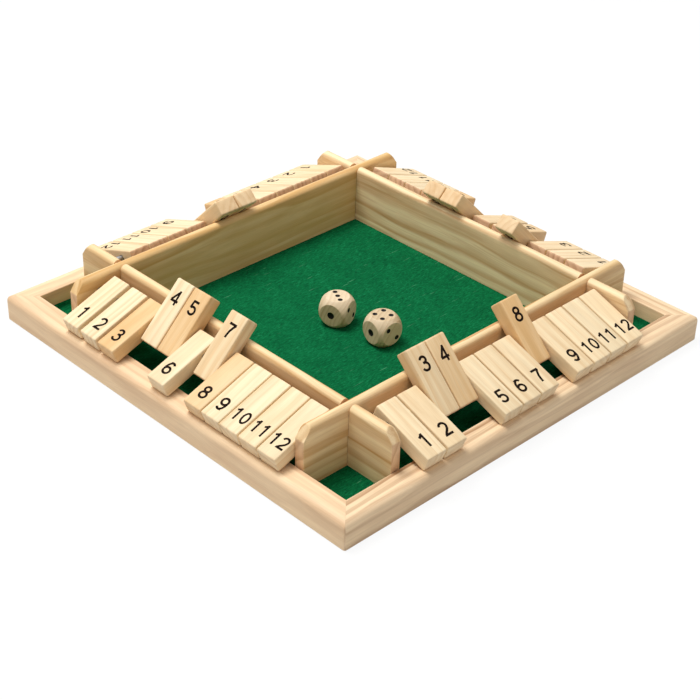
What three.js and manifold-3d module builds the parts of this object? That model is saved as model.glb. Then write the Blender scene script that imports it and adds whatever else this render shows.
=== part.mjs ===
import * as THREE from 'three';
import { mergeVertices } from 'three/addons/utils/BufferGeometryUtils.js';
import Module from 'manifold-3d';

// A shut the box game for four players, in millimetres, +Z up.
// The origin is the middle of the underside. A low square tray has a felt floor, four
// dividers that cross near its corners, and along each side a rod with twelve tiles.
// Each row reads one to twelve, left to right, for the player who sits outside it.

// Tiles and the rods they turn on
const tiles_in_row = 12;
const tile_length = 42;
const tile_width = 14.3;
const tile_thickness = 9.8;
const tile_bore_from_end = 11.2;
const tile_edge_round = 0.8;
const tile_rest_gap = 0.2;
const rod_diameter = 3.6;
const rod_height = 32.1;
const rod_from_divider = 15.6;
const rod_socket_depth = 4;
const rod_end_gap = 0.3;
const rod_socket_gap = 0.2;
const spacer_diameter = 7;
const spacer_thickness = 0.4;
const running_gap = 0.2;
const bore_gap = 0.3;

// What is left over in each row, and the share of it that lies before each tile
const row_slack = 10.4;
const row_end_gap = 0.4;
const slack_before_tile_shares = {
  south: [0.644, 0.048, 0.019, 0, 0.019, 0.014, 0.038, 0.024, 0.029, 0.024, 0.038, 0.019],
  west: [0.317, 0.231, 0.144, 0.038, 0.019, 0.019, 0.163, 0.005, 0, 0, 0.029, 0],
  north: [0, 0, 0, 0, 0, 0, 0, 0, 0, 0, 0, 0],
  east: [0.558, 0, 0, 0, 0, 0.115, 0.096, 0, 0, 0, 0, 0],
};
const flipped_tiles = {
  south: ['03', '04', '08'],
  west: ['04', '05', '07'],
  north: ['07', '08'],
  east: ['04', '07', '08'],
};

// Dividers
const divider_thickness = 6.6;
const divider_above_rod = 10.4;
const divider_end_chamfer = 5.8;
const divider_end_drop = 8.2;
const divider_end_gap = 0.3;
const lap_gap = 0.25;

// Tray and felt
const channel_width = 32.6;
const rail_width = 15;
const tray_height = 17;
const rail_top_round = 4;
const tray_corner_radius = 1.6;
const base_thickness = 3;
const felt_thickness = 0.7;
const felt_edge_gap = 0.3;
const glue_gap = 0.2;

// Dice
const die_side = 18.6;
const die_flat_diameter = 14.8;
const die_rest_gap = 0.2;
const pip_diameter = 2.3;
const one_pip_diameter = 3.8;
const pip_depth = 0.7;
const pip_spacing = 3.45;
const die_place_shares = { left: [-0.058, 0.077], right: [-0.003, -0.277] };
const die_turn_shares = { left: 0.0564, right: -0.0111 };
const die_top = { left: 'three', right: 'four' };

// How far a cutter runs past the piece that it cuts
const overrun = 1;

// Sizes that follow from those above
const rod_radius = rod_diameter / 2;
const tile_pitch = tile_width + spacer_thickness + 2 * running_gap;
const row_length = tiles_in_row * tile_width + (tiles_in_row - 1) * (tile_pitch - tile_width);
const play_side = row_length + row_slack + 2 * row_end_gap;
const half_play = play_side / 2;
const crossing = half_play + divider_thickness / 2;
const half_inside = half_play + divider_thickness + channel_width;
const tray_side = 2 * (half_inside + rail_width);
const rod_offset = half_play + divider_thickness + rod_from_divider;
const felt_top = base_thickness + glue_gap + felt_thickness;
const divider_bottom = felt_top + glue_gap;
const divider_top = rod_height + divider_above_rod;
const divider_length = 2 * (half_inside - divider_end_gap);
const top_round = divider_thickness / 2;
const lap_height = (divider_bottom + divider_top) / 2;

// A tile lies with the lower corner of its free end on the rail, or leans on a divider.
const reach = tile_length - tile_bore_from_end - tile_edge_round;
const half_flat = tile_thickness / 2 - tile_edge_round;
const drop = rod_height - tray_height - tile_rest_gap - tile_edge_round;
const lying_angle = Math.asin(drop / Math.hypot(reach, half_flat)) - Math.atan2(half_flat, reach);
const crest_across = rod_from_divider + top_round;
const crest_up = divider_top - top_round - rod_height;
const lean = tile_thickness / 2 + top_round + tile_rest_gap;
const leaning_angle =
  Math.atan2(crest_up, crest_across) + Math.asin(lean / Math.hypot(crest_across, crest_up));

const round_steps = 10;
const sides = ['south', 'west', 'north', 'east'];
const quarter_turns = { south: 0, west: -1, north: 2, east: 1 };

const wasm = await Module();
wasm.setup();

const paint = (color, roughness, metalness = 0) =>
  new THREE.MeshStandardMaterial({ color, roughness, metalness });
const pine = () => paint(0xe9c894, 0.6);
const pale_pine = () => paint(0xf3dcae, 0.6);
const birch = () => paint(0xe6d0ae, 0.5);
const green_felt = () => paint(0x14703f, 0.95);
const steel = () => paint(0xb9bcc0, 0.35, 0.9);

// A closed geometry as a solid that can be joined and cut
function solid(geometry, place = new THREE.Matrix4()) {
  const plain = geometry.index ? geometry.toNonIndexed() : geometry.clone();
  plain.deleteAttribute('normal');
  plain.deleteAttribute('uv');
  plain.applyMatrix4(place);
  const merged = mergeVertices(plain);
  return new wasm.Manifold(new wasm.Mesh({
    numProp: 3,
    vertProperties: new Float32Array(merged.attributes.position.array),
    triVerts: new Uint32Array(merged.index.array),
  }));
}

function geometryOf(body) {
  const mesh = body.getMesh();
  const geometry = new THREE.BufferGeometry();
  geometry.setAttribute('position', new THREE.BufferAttribute(mesh.vertProperties, 3));
  geometry.setIndex(new THREE.BufferAttribute(mesh.triVerts, 1));
  return geometry;
}

// A block between two corners
function block(low, high) {
  const size = high.map((value, axis) => value - low[axis]);
  const middle = high.map((value, axis) => (value + low[axis]) / 2);
  return solid(
    new THREE.BoxGeometry(...size), new THREE.Matrix4().makeTranslation(...middle));
}

// An outline in the YZ plane run along X, centred on X zero
function alongX(outline, length) {
  const geometry = new THREE.ExtrudeGeometry(
    outline, { depth: length, bevelEnabled: false, curveSegments: round_steps / 2 });
  geometry.translate(0, 0, -length / 2);
  geometry.applyMatrix4(new THREE.Matrix4().makeBasis(
    new THREE.Vector3(0, 1, 0), new THREE.Vector3(0, 0, 1), new THREE.Vector3(1, 0, 0)));
  return geometry;
}

function named(name, geometry, material) {
  const mesh = new THREE.Mesh(geometry, material);
  mesh.name = name;
  return mesh;
}

// The section of the tray's outside: flat top, rounded over at both outer edges
function traySection() {
  const half = tray_side / 2;
  const flat = half - rail_top_round;
  const shoulder = tray_height - rail_top_round;
  const outline = new THREE.Shape();
  outline.moveTo(-half, 0);
  outline.lineTo(half, 0);
  outline.lineTo(half, shoulder);
  outline.absarc(flat, shoulder, rail_top_round, 0, Math.PI / 2, false);
  outline.lineTo(-flat, tray_height);
  outline.absarc(-flat, shoulder, rail_top_round, Math.PI / 2, Math.PI, false);
  return outline;
}

function trayPlan() {
  const half = tray_side / 2;
  const near = half - tray_corner_radius;
  const plan = new THREE.Shape();
  for (let corner = 0; corner < 4; corner += 1) {
    const turn = (corner * Math.PI) / 2;
    const x = near * Math.SQRT2 * Math.cos(turn + Math.PI / 4);
    const y = near * Math.SQRT2 * Math.sin(turn + Math.PI / 4);
    plan.absarc(x, y, tray_corner_radius, turn, turn + Math.PI / 2, false);
  }
  plan.closePath();
  return plan;
}

// Four mitred rails round a base board
function tray() {
  const bar = alongX(traySection(), tray_side + 2 * overrun);
  const across = bar.clone().rotateZ(Math.PI / 2);
  const column = new THREE.ExtrudeGeometry(
    trayPlan(), { depth: tray_height + 2 * overrun, bevelEnabled: false, curveSegments: 3 });
  column.translate(0, 0, -overrun);
  const inside = block(
    [-half_inside, -half_inside, base_thickness],
    [half_inside, half_inside, tray_height + overrun]);
  const body = solid(bar).intersect(solid(across)).intersect(solid(column)).subtract(inside);
  return named('tray', geometryOf(body), pine());
}

function felt() {
  const half = half_inside - felt_edge_gap;
  const low = base_thickness + glue_gap;
  const sheet = block([-half, -half, low], [half, half, felt_top]);
  return named('felt', geometryOf(sheet), green_felt());
}

// The section of a divider: a board whose top edge is fully rounded
function dividerSection() {
  const shoulder = divider_top - top_round;
  const outline = new THREE.Shape();
  outline.moveTo(-half_play - divider_thickness, divider_bottom);
  outline.lineTo(-half_play, divider_bottom);
  outline.lineTo(-half_play, shoulder);
  outline.absarc(-crossing, shoulder, top_round, 0, Math.PI, false);
  return outline;
}

// A wedge that takes the top corner off one end of a divider. Its sloping side goes on past the
// cut by the cut's own length at both ends.
function endChamfer(end) {
  const tip = divider_length / 2;
  const outer = end * (tip + divider_end_chamfer);
  const wedge = new THREE.Shape();
  wedge.moveTo(end * (tip - 2 * divider_end_chamfer), divider_top + divider_end_drop);
  wedge.lineTo(outer, divider_top - 2 * divider_end_drop);
  wedge.lineTo(outer, divider_top + divider_end_drop);
  const depth = divider_thickness + 2 * overrun;
  const geometry = new THREE.ExtrudeGeometry(wedge, { depth, bevelEnabled: false });
  geometry.translate(0, 0, -depth / 2);
  return solid(geometry, new THREE.Matrix4().makeBasis(
    new THREE.Vector3(1, 0, 0), new THREE.Vector3(0, 0, 1), new THREE.Vector3(0, -1, 0)
  ).setPosition(0, -crossing, 0));
}

// The hole in a divider's inner face that takes the end of a rod
function rodSocket(x) {
  const radius = rod_radius + rod_socket_gap;
  const depth = rod_socket_depth + overrun;
  const bore = new THREE.CylinderGeometry(radius, radius, depth, round_steps);
  const y = -half_play - rod_socket_depth + depth / 2;
  return solid(bore, new THREE.Matrix4().makeTranslation(x, y, rod_height));
}

// South and north dividers run over the others, so they are notched from below.
function divider(side) {
  const over = quarter_turns[side] % 2 === 0;
  let body = solid(alongX(dividerSection(), divider_length));
  const half_notch = divider_thickness / 2 + lap_gap;
  const low = over ? divider_bottom - overrun : lap_height - lap_gap / 2;
  const high = over ? lap_height + lap_gap / 2 : divider_top + overrun;
  for (const end of [-1, 1]) {
    const middle = end * crossing;
    body = body.subtract(block(
      [middle - half_notch, -crossing - top_round - overrun, low],
      [middle + half_notch, -crossing + top_round + overrun, high]));
    body = body.subtract(endChamfer(end));
    body = body.subtract(rodSocket(end * rod_offset));
  }
  return named(`divider_${side}`, geometryOf(body), pine());
}

// Where a tile begins along its row
function tileStart(side, number) {
  const before = slack_before_tile_shares[side].slice(0, number);
  const slack = row_slack * before.reduce((sum, share) => sum + share, 0);
  return -half_play + row_end_gap + slack + (number - 1) * tile_pitch;
}

// A rod with a thin spacer ring before every tile but the first
function rod(side) {
  const half = half_play + rod_socket_depth - rod_end_gap;
  const profile = [[0, -half], [rod_radius, -half]];
  for (let number = 2; number <= tiles_in_row; number += 1) {
    const from = tileStart(side, number) - running_gap - spacer_thickness;
    const to = from + spacer_thickness;
    const out = spacer_diameter / 2;
    profile.push([rod_radius, from], [out, from], [out, to], [rod_radius, to]);
  }
  profile.push([rod_radius, half], [0, half]);
  const geometry = new THREE.LatheGeometry(
    profile.map(([x, y]) => new THREE.Vector2(x, y)), round_steps);
  geometry.rotateZ(-Math.PI / 2);
  const mesh = named(`rod_${side}`, geometry, steel());
  mesh.position.set(0, -rod_offset, rod_height);
  return mesh;
}

// The side view of a tile: free end towards -Y, bore at the origin, edges eased
function tileSection() {
  const near = tile_bore_from_end;
  const far = tile_bore_from_end - tile_length;
  const half = tile_thickness / 2;
  const ease = tile_edge_round;
  const outline = new THREE.Shape([
    [far + ease, -half], [near - ease, -half], [near, -half + ease], [near, half - ease],
    [near - ease, half], [far + ease, half], [far, half - ease], [far, -half + ease],
  ].map(([y, z]) => new THREE.Vector2(y, z)));
  const bore = new THREE.Path();
  bore.absarc(0, 0, rod_radius + bore_gap, 0, 2 * Math.PI, true);
  outline.holes.push(bore);
  return outline;
}

const tile_geometry = alongX(tileSection(), tile_width);

function tile(side, number) {
  const label = String(number).padStart(2, '0');
  const mesh = named(`tile_${side}_${label}`, tile_geometry, pale_pine());
  const x = tileStart(side, number) + tile_width / 2;
  mesh.position.set(x, -rod_offset, rod_height);
  const flipped = flipped_tiles[side].includes(label);
  mesh.rotation.x = flipped ? Math.PI + leaning_angle : lying_angle;
  return mesh;
}

// Where the pips lie on a face, in steps of the pip spacing
const pip_patterns = {
  one: [[0, 0]],
  two: [[1, 1], [-1, -1]],
  three: [[1, 1], [0, 0], [-1, -1]],
  four: [[1, 1], [1, -1], [-1, 1], [-1, -1]],
  five: [[1, 1], [1, -1], [0, 0], [-1, 1], [-1, -1]],
  six: [[1, 1], [1, 0], [1, -1], [-1, 1], [-1, 0], [-1, -1]],
};
const opposite = {
  one: 'six', two: 'five', three: 'four', four: 'three', five: 'two', six: 'one',
};

// A face by its outward direction and the two directions that its pips are laid along
function pips(count, out, first, second) {
  const diameter = count === 'one' ? one_pip_diameter : pip_diameter;
  const depth = pip_depth + overrun;
  const bore = new THREE.CylinderGeometry(diameter / 2, diameter / 2, depth, round_steps);
  return pip_patterns[count].map(([a, b]) => {
    const middle = out.clone().multiplyScalar(die_side / 2 - pip_depth + depth / 2)
      .addScaledVector(first, a * pip_spacing).addScaledVector(second, b * pip_spacing);
    const basis = new THREE.Matrix4().makeBasis(second, out, second.clone().cross(out));
    return solid(bore, basis.setPosition(middle));
  });
}

// A cube rounded by a sphere, so that each face is a round flat with drilled pips
function die(place) {
  const half = die_side / 2;
  const ball = new THREE.SphereGeometry(Math.hypot(half, die_flat_diameter / 2), 24, 14);
  let body = solid(ball).intersect(block([-half, -half, -half], [half, half, half]));
  const x = new THREE.Vector3(1, 0, 0);
  const y = new THREE.Vector3(0, 1, 0);
  const z = new THREE.Vector3(0, 0, 1);
  const back = (axis) => axis.clone().negate();
  const top = die_top[place];
  const faces = [
    ['one', back(x), z, y], ['six', x, z, y],
    ['two', back(y), z, back(x)], ['five', y, z, x],
    [top, z, x, y], [opposite[top], back(z), x, back(y)],
  ];
  for (const [count, out, first, second] of faces) {
    for (const bore of pips(count, out, first, second)) body = body.subtract(bore);
  }
  const mesh = named(`die_${place}`, geometryOf(body), birch());
  const [across, along] = die_place_shares[place];
  mesh.position.set(
    across * half_play, along * half_play, felt_top + die_rest_gap + half);
  mesh.rotation.z = 2 * Math.PI * die_turn_shares[place];
  return mesh;
}

const group = new THREE.Group();
group.add(tray(), felt());
for (const side of sides) {
  const row = new THREE.Group();
  row.rotation.z = (quarter_turns[side] * Math.PI) / 2;
  row.add(divider(side), rod(side));
  for (let number = 1; number <= tiles_in_row; number += 1) row.add(tile(side, number));
  group.add(row);
}
for (const place of ['left', 'right']) group.add(die(place));

export default group;
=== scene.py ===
import math

import bpy
import numpy as np
from mathutils import Matrix
from mathutils.geometry import delaunay_2d_cdt


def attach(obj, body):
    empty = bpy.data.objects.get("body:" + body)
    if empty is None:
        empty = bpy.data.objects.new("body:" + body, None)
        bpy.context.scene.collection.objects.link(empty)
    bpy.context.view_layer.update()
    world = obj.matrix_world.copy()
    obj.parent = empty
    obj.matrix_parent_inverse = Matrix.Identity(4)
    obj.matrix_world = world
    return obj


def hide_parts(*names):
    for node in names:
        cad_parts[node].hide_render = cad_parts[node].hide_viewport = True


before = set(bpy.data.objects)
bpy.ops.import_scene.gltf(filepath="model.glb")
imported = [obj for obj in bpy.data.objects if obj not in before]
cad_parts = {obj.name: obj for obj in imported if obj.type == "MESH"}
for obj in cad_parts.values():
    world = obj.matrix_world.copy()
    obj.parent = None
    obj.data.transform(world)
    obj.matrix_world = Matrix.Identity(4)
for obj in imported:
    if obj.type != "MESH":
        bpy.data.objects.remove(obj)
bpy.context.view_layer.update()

# The tray's four rails: sanded pine, 15 by 17 mm in section with the outer top edge rounded over,
# mitred at the corners and glued. A rebate under each rail takes the edge of the base board.
MM = 0.001
HALF_SIDE = 150.0
HALF_INSIDE = 135.0
TRAY_HEIGHT = 17.0
RAIL_ROUND = 4.0
RAIL_INNER_EASE = 0.7
RAIL_FOOT_EASE = 0.5
RAIL_CORNER = 1.6
MITRE_MARGIN = 0.8
MITRE_GAP = 0.02
MITRE_FAN = 0.3
REBATE_WIDTH = 6.0
REBATE_HEIGHT = 3.0

QUARTERS = {"south": 0, "west": -1, "north": 2, "east": 1}
chance = np.random.default_rng(12)


def outline(corners, steps=6):
    """A closed outline through (y, z, radius) corners, run anticlockwise, each corner rounded
    by an arc of its radius that touches both sides."""
    points = []
    for i, (y, z, radius) in enumerate(corners):
        here = np.array([y, z])
        back = np.array(corners[i - 1][:2]) - here
        on = np.array(corners[(i + 1) % len(corners)][:2]) - here
        back, on = back / np.linalg.norm(back), on / np.linalg.norm(on)
        if radius <= 0:
            points.append(here[None])
            continue
        half = math.acos(np.clip(back @ on, -1, 1)) / 2
        middle = (back + on) / np.linalg.norm(back + on)
        centre = here + middle * radius / math.sin(half)
        share = np.linspace(0, 1, steps + 1)[:, None]
        first, last = back * radius / math.tan(half) + here, on * radius / math.tan(half) + here
        angle = math.pi - 2 * half
        ways = (np.sin((1 - share) * angle) * (first - centre)
                + np.sin(share * angle) * (last - centre))
        points.append(centre + ways / math.sin(angle))
    return np.concatenate(points)


def skin(rings, wrap=False):
    """Points and faces of a surface through rings, an array of (ring, point, xyz). Every ring is
    closed on itself. The last ring joins the first (wrap), or both ends get a flat face."""
    count, around = rings.shape[:2]
    here = np.arange(count * around).reshape(count, around)
    if wrap:
        here = np.concatenate([here, here[:1]])
    beside = np.roll(here, -1, axis=1)
    faces = np.stack([here[:-1], beside[:-1], beside[1:], here[1:]], -1).reshape(-1, 4).tolist()
    if not wrap:
        faces += [here[0][::-1].tolist(), here[-1].tolist()]
    return rings.reshape(-1, 3), faces


def turned(points, axis, degrees):
    """Points turned about one axis (0, 1 or 2) through the origin."""
    angle = math.radians(degrees)
    made = np.array(points, float)
    a, b = (axis + 1) % 3, (axis + 2) % 3
    made[:, a] = points[:, a] * math.cos(angle) - points[:, b] * math.sin(angle)
    made[:, b] = points[:, a] * math.sin(angle) + points[:, b] * math.cos(angle)
    return made


def put(name, points, faces, finishes, kinds=None, sharp=35):
    """A mesh object from points in millimetres, smooth except where faces meet at more than the
    sharp angle in degrees. kinds gives each face's place in the list of finishes."""
    mesh = bpy.data.meshes.new(name)
    mesh.from_pydata((np.asarray(points) * MM).tolist(), [], faces)
    for finish in finishes:
        mesh.materials.append(finish)
    if kinds is not None:
        mesh.polygons.foreach_set("material_index", np.asarray(kinds, np.int32))
    mesh.shade_smooth()
    mesh.set_sharp_from_angle(angle=math.radians(sharp))
    mesh.update()
    made = bpy.data.objects.new(name, mesh)
    bpy.context.scene.collection.objects.link(made)
    return made


def give_grain(made, local, from_pith, tone=0.0, bright=1.0, low_end=1.0, steep=0.5):
    """Stores where each point lay in the log, in millimetres with the grain along the first
    axis, which faces are end grain, and how warm and how bright this length is drawn: its wood's
    own tone, with painted light and shade added on some pieces. low_end is the share of end grain
    that shows at the end where the first axis is below zero. A face that leans less than steep
    against the grain shows none."""
    mesh = made.data
    grain = mesh.attributes.new("grain", "FLOAT_VECTOR", "POINT")
    grain.data.foreach_set("vector", (local + from_pith).astype(np.float32).ravel())
    corners = np.zeros(len(mesh.loops), np.int32)
    mesh.loops.foreach_get("vertex_index", corners)
    totals = np.zeros(len(mesh.polygons), np.int32)
    mesh.polygons.foreach_get("loop_total", totals)
    starts = np.concatenate([[0], np.cumsum(totals)[:-1]])
    p = local[corners]
    q = local[np.concatenate([np.roll(corners[s:s + t], -1) for s, t in zip(starts, totals)])]
    across = np.cross(p, q)
    normal = np.add.reduceat(across, starts)
    look = np.abs(normal[:, 0]) / (np.linalg.norm(normal, axis=1) + 1e-12)
    ends = mesh.attributes.new("end_grain", "FLOAT", "FACE")
    lies_low = np.add.reduceat(p[:, 0], starts) < 0
    shows = np.clip((look - steep) / 0.2, 0, 1) * np.where(lies_low, low_end, 1.0)
    ends.data.foreach_set("value", shows.astype(np.float32))
    for key, value in (("tone", tone), ("bright", bright)):
        made_here = mesh.attributes.new(key, "FLOAT", "POINT")
        made_here.data.foreach_set("value", np.full(len(local), value, np.float32))


def linear(colour, alpha=1.0):
    """An sRGB hex colour as linear red, green and blue."""
    parts = [int(colour[i:i + 2], 16) / 255 for i in (1, 3, 5)]
    return [c / 12.92 if c <= 0.04045 else ((c + 0.055) / 1.055) ** 2.4 for c in parts] + [alpha]


def add(tree, kind, inputs=None, **settings):
    """Adds a shader node with its settings; inputs are values, or sockets to link from."""
    made = tree.nodes.new("ShaderNode" + kind)
    for key, value in settings.items():
        setattr(made, key, value)
    for key, value in (inputs or {}).items():
        if isinstance(value, bpy.types.NodeSocket):
            tree.links.new(value, made.inputs[key])
        else:
            made.inputs[key].default_value = value
    return made


def stops(ramp, places):
    """Sets a colour ramp's stops from (place, grey or colour) pairs."""
    band = ramp.color_ramp
    for i, (place, value) in enumerate(places):
        stop = band.elements[i] if i < 2 else band.elements.new(place)
        stop.position = place
        stop.color = value if isinstance(value, list) else [value, value, value, 1]
    return ramp


def new_finish(name, plain):
    """A new material, its node tree and its Principled shader, which is given its plain values:
    those that are the same all over the surface."""
    finish = bpy.data.materials.new(name)
    finish.use_nodes = True
    shader = finish.node_tree.nodes["Principled BSDF"]
    for key, value in plain.items():
        shader.inputs[key].default_value = value
    return finish, finish.node_tree, shader


def sawn_wood(name, early, late, ends, ring, contrast, warm, roughness=0.58):
    """Wood as it comes from the log: growth rings round a pith, wandering a little along the
    length. Each ring goes slowly from pale early wood to a darker line of late wood, and
    drops back at once, and some years' lines are fainter than others. Long soft streaks and
    fine fibres run along it. The end grain is browner, and shows the same rings as clear bands
    between its own two colours. ring is the width of a year in millimetres, contrast how dark
    its line gets, and warm the colour that a length's tone draws it towards."""
    finish, tree, shader = new_finish(name, {"IOR": 1.5})
    grain = add(tree, "Attribute", attribute_name="grain").outputs["Vector"]
    slow = add(tree, "VectorMath", {0: grain, 1: (0.009, 0.05, 0.05)},
               operation="MULTIPLY").outputs[0]
    drift = add(tree, "TexNoise", {"Vector": slow, "Scale": 1.0, "Detail": 2.0}).outputs["Color"]
    centred = add(tree, "VectorMath", {0: drift, 1: (0.5, 0.5, 0.5)},
                  operation="SUBTRACT").outputs[0]
    wander = add(tree, "VectorMath", {0: centred, 1: (0, 1.9 * ring, 1.9 * ring)},
                 operation="MULTIPLY").outputs[0]
    bent = add(tree, "VectorMath", {0: grain, 1: wander}, operation="ADD").outputs[0]
    flat = add(tree, "VectorMath", {0: bent, 1: (0, 1, 1)}, operation="MULTIPLY").outputs[0]
    radius = add(tree, "VectorMath", {0: flat}, operation="LENGTH").outputs["Value"]
    years = add(tree, "Math", {0: radius, 1: ring}, operation="DIVIDE").outputs[0]
    share = add(tree, "Math", {0: years}, operation="FRACT").outputs[0]
    line = stops(add(tree, "ValToRGB", {"Fac": share}),
                 [(0.0, 0.0), (1.0, 0.0), (0.3, 0.1), (0.7, 0.85), (0.84, 1.0)]).outputs["Color"]
    season = add(tree, "TexNoise", {"W": years, "Scale": 0.45, "Detail": 0.0},
                 noise_dimensions="1D").outputs["Fac"]
    weight = add(tree, "MapRange", {"Value": season, "From Min": 0.3, "From Max": 0.7,
                                    "To Min": 0.35 * contrast, "To Max": contrast}).outputs[0]
    ring_dark = add(tree, "Math", {0: line, 1: weight}, operation="MULTIPLY").outputs[0]
    long = add(tree, "VectorMath", {0: bent, 1: (0.005, 0.4, 0.4)}, operation="MULTIPLY").outputs[0]
    streak = add(tree, "TexNoise", {"Vector": long, "Scale": 1.0, "Detail": 3.0,
                                    "Roughness": 0.6}).outputs["Fac"]
    stain = add(tree, "MapRange", {"Value": streak, "From Min": 0.5, "From Max": 0.75,
                                   "To Min": 0.0, "To Max": 0.45 * contrast}).outputs[0]
    dark = add(tree, "Math", {0: ring_dark, 1: stain}, operation="ADD", use_clamp=True).outputs[0]
    thin = add(tree, "VectorMath", {0: bent, 1: (0.06, 2.2, 2.2)}, operation="MULTIPLY").outputs[0]
    fibre = add(tree, "TexNoise", {"Vector": thin, "Scale": 1.0, "Detail": 3.0,
                                   "Roughness": 0.6}).outputs["Fac"]
    broad = add(tree, "VectorMath", {0: grain, 1: (0.02, 0.16, 0.16)},
                operation="MULTIPLY").outputs[0]
    patch = add(tree, "TexNoise", {"Vector": broad, "Scale": 1.0, "Detail": 1.0}).outputs["Fac"]

    body = add(tree, "Mix", {0: dark, 6: linear(early), 7: linear(late)},
               data_type="RGBA").outputs[2]
    tone = add(tree, "Attribute", attribute_name="tone").outputs["Fac"]
    blush = add(tree, "MapRange", {"Value": patch, "From Min": 0.35, "From Max": 0.75,
                                   "To Min": 0.0, "To Max": 0.35}).outputs[0]
    glow = add(tree, "Math", {0: tone, 1: blush}, operation="ADD", use_clamp=True).outputs[0]
    toned = add(tree, "Mix", {0: glow, 6: body, 7: linear(warm)}, data_type="RGBA").outputs[2]
    ringed = add(tree, "Math", {0: ring_dark, 1: 1 / contrast}, operation="MULTIPLY").outputs[0]
    bands = add(tree, "Mix", {0: ringed, 6: linear(ends[0]), 7: linear(ends[1])},
                data_type="RGBA").outputs[2]
    look = add(tree, "Attribute", attribute_name="end_grain").outputs["Fac"]
    cover = add(tree, "Math", {0: look, 1: 0.9}, operation="MULTIPLY").outputs[0]
    cut = add(tree, "Mix", {0: cover, 6: toned, 7: bands}, data_type="RGBA").outputs[2]
    light = add(tree, "MapRange", {"Value": fibre, "From Min": 0.3, "From Max": 0.7,
                                   "To Min": 0.93, "To Max": 1.05}).outputs[0]
    mottle = add(tree, "MapRange", {"Value": patch, "From Min": 0.3, "From Max": 0.7,
                                    "To Min": 1.03, "To Max": 0.93}).outputs[0]
    bright = add(tree, "Attribute", attribute_name="bright").outputs["Fac"]
    level = add(tree, "Math", {0: bright, 1: mottle}, operation="MULTIPLY").outputs[0]
    whole = add(tree, "Math", {0: level, 1: light}, operation="MULTIPLY").outputs[0]
    shown = add(tree, "VectorMath", {0: cut, "Scale": whole}, operation="SCALE").outputs[0]
    tree.links.new(shown, shader.inputs["Base Color"])
    rough = add(tree, "MapRange", {"Value": dark, "To Min": roughness + 0.05,
                                   "To Max": roughness - 0.08}).outputs[0]
    tree.links.new(rough, shader.inputs["Roughness"])
    relief = add(tree, "Math", {0: fibre, 1: dark}, operation="ADD").outputs[0]
    bump = add(tree, "Bump", {"Height": relief, "Strength": 0.25, "Distance": 0.00006}).outputs[0]
    tree.links.new(bump, shader.inputs["Normal"])
    return finish


def log_place(reach=60.0):
    """Where in its log a board was sawn: far enough from the pith for nearly straight lines."""
    way = chance.uniform(0, 2 * math.pi)
    far = chance.uniform(0.5, 1.0) * reach
    return np.array([chance.uniform(-400, 400), far * math.cos(way), far * math.sin(way)])


# Radiata pine, sanded and left bare: cream early wood with faint tan lines some 6 mm apart,
# which show as soft streaks along the rails, and almost no gloss. The south rail is a length
# with darker lines, nearer each other.
rail_pine = sawn_wood("rail_pine", "#F8DCB4", "#BF8D5C", ("#E3C09A", "#B98C66"),
                      ring=6.0, contrast=0.6, warm="#ECC298")
lined_pine = sawn_wood("lined_rail_pine", "#F8DCB4", "#A87A4E", ("#E3C09A", "#B98C66"),
                       ring=4.5, contrast=0.9, warm="#ECC298")
RAIL_PINE = {"south": lined_pine, "west": rail_pine, "north": rail_pine, "east": rail_pine}


def rail_points(along_steps=40, bend_steps=4):
    """The rail's section carried along X. A section point at inset i from the outside ends at
    the mitre, where X equals its distance from the middle; within the corner's radius its
    path turns by 45 degrees round the corner's centre."""
    section = outline([
        (-HALF_SIDE, 0, RAIL_FOOT_EASE), (-HALF_INSIDE - REBATE_WIDTH, 0, 0),
        (-HALF_INSIDE - REBATE_WIDTH, REBATE_HEIGHT, 0), (-HALF_INSIDE, REBATE_HEIGHT, 0),
        (-HALF_INSIDE, TRAY_HEIGHT, RAIL_INNER_EASE), (-HALF_SIDE, TRAY_HEIGHT, RAIL_ROUND)], 9)
    depth = -section[:, 0]
    core = HALF_SIDE - RAIL_CORNER
    inset = HALF_SIDE - depth
    outer = np.clip(RAIL_CORNER - inset, 0, None)
    straight = np.minimum(depth, core)
    rings = []
    for s in np.linspace(-1, 1, along_steps + 1)[1:-1]:
        rings.append((s * (straight - MITRE_MARGIN), depth))
    for k in range(bend_steps + 1):
        turn = math.radians(45 * k / bend_steps)
        fan = MITRE_FAN * (1 - k / bend_steps) * (outer <= 0)
        near = straight - fan + outer * math.sin(turn)
        deep = np.where(outer > 0, core + outer * math.cos(turn), depth)
        rings.append((near - MITRE_GAP, deep))
        rings.insert(0, (-(near - MITRE_GAP), deep))
    return np.stack([np.stack([x, -y, section[:, 1]], 1) for x, y in rings])


RAIL_TONE = {"south": 0.0, "west": 0.15, "north": 0.2, "east": -0.3}
for side, quarter in QUARTERS.items():
    points, faces = skin(rail_points())
    rail = put(f"rail_{side}", turned(points, 2, 90 * quarter), faces, [RAIL_PINE[side]], sharp=30)
    give_grain(rail, points, log_place(), RAIL_TONE[side])
    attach(rail, "board")
    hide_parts("tray")

# The base board: 3 mm plywood let into the rails' rebates and glued, face veneer downwards.
# Only its underside shows.
BASE_GAP = 0.15
BASE_EASE = 0.2
base_ply = sawn_wood("base_plywood", "#DDBB88", "#C39B65", ("#B08A5C", "#8A6238"),
                     ring=9.0, contrast=0.6, warm="#D2AA74", roughness=0.65)
half = HALF_INSIDE + REBATE_WIDTH - BASE_GAP
plans = []
for lift, shrink in ((0, BASE_EASE), (BASE_EASE, 0), (REBATE_HEIGHT - 2 * BASE_EASE, 0),
                     (REBATE_HEIGHT - BASE_EASE, BASE_EASE)):
    h = half - shrink
    square = outline([(-h, -h, 0.5), (h, -h, 0.5), (h, h, 0.5), (-h, h, 0.5)], 3)
    plans.append(np.column_stack([square, np.full(len(square), lift)]))
points, faces = skin(np.stack(plans))
base = put("base_board", points, faces, [base_ply])
give_grain(base, points, np.array([0, 30.0, 90.0]))
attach(base, "board")
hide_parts("tray")

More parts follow.
